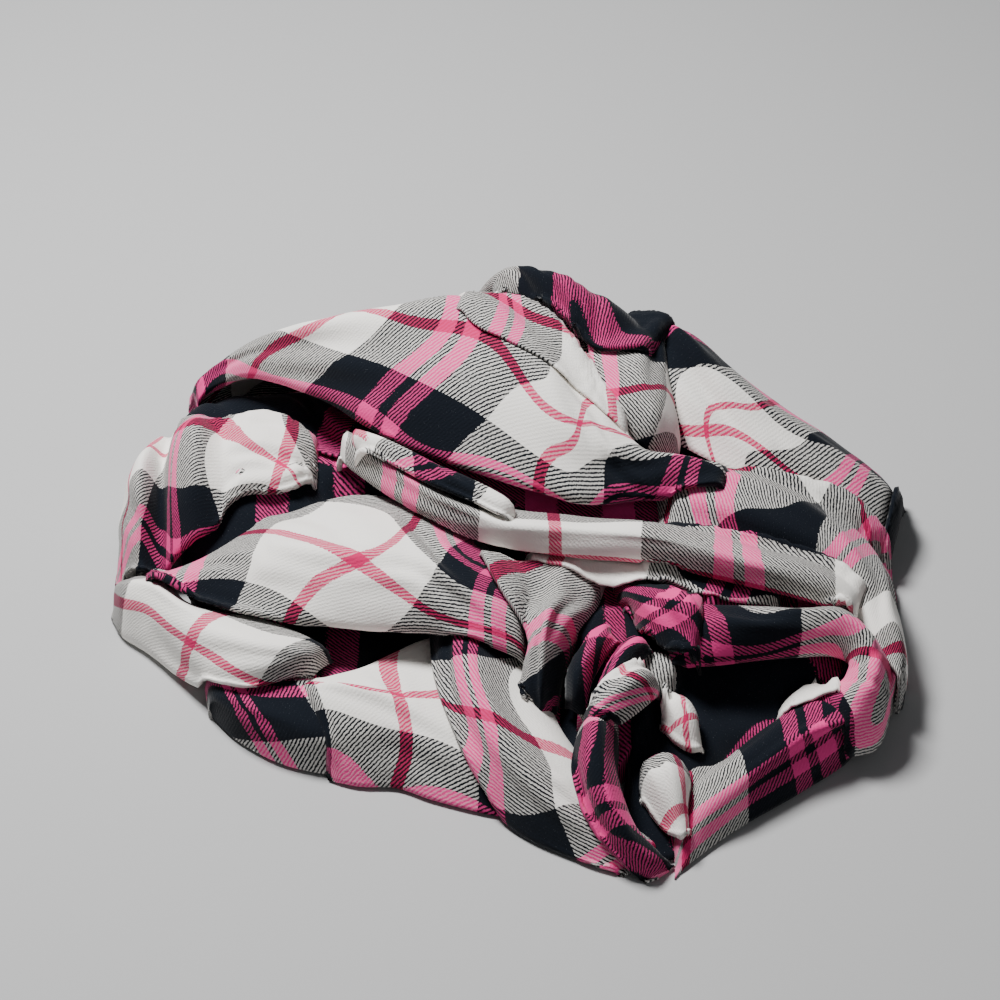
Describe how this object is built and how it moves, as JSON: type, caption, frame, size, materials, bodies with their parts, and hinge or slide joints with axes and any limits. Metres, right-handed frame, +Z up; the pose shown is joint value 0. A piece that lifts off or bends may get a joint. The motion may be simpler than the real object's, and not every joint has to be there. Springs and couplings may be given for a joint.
{
  "type": "crumpled shirt",
  "caption": "Long-sleeved flannel shirt in a brushed check, crumpled into a low heap with folded and rolled layers, resting flat on its underside.",
  "frame": {"origin": "middle of the heap's footprint, on the surface it lies on", "axes": "+X to the right along the heap's longest side, +Y to the back, +Z up"},
  "size_m": [0.444, 0.3829, 0.1346],
  "materials": {
    "flannel_cream": "brushed twill flannel",
    "flannel_grey": "brushed twill flannel",
    "flannel_black": "brushed twill flannel",
    "flannel_pink": "brushed twill flannel",
    "flannel_rose": "brushed twill flannel"
  },
  "bodies": {
    "root": {"right_front_hem": "flannel_rose", "left_front_hem": "flannel_cream", "back_tail": "flannel_grey", "left_front_edge": "flannel_grey", "left_sleeve_under": "flannel_cream", "left_shoulder": "flannel_grey", "left_sleeve_upper": "flannel_cream", "left_front_middle": "flannel_black", "left_sleeve_end": "flannel_pink", "right_sleeve": "flannel_cream", "right_cuff": "flannel_black", "yoke": "flannel_grey", "right_front_side": "flannel_grey", "right_front_roll": "flannel_pink", "right_front_fold": "flannel_cream", "placket": "flannel_grey", "back": "flannel_cream", "collar": "flannel_black", "inner_layers": "flannel_black"}
  },
  "joints": []
}
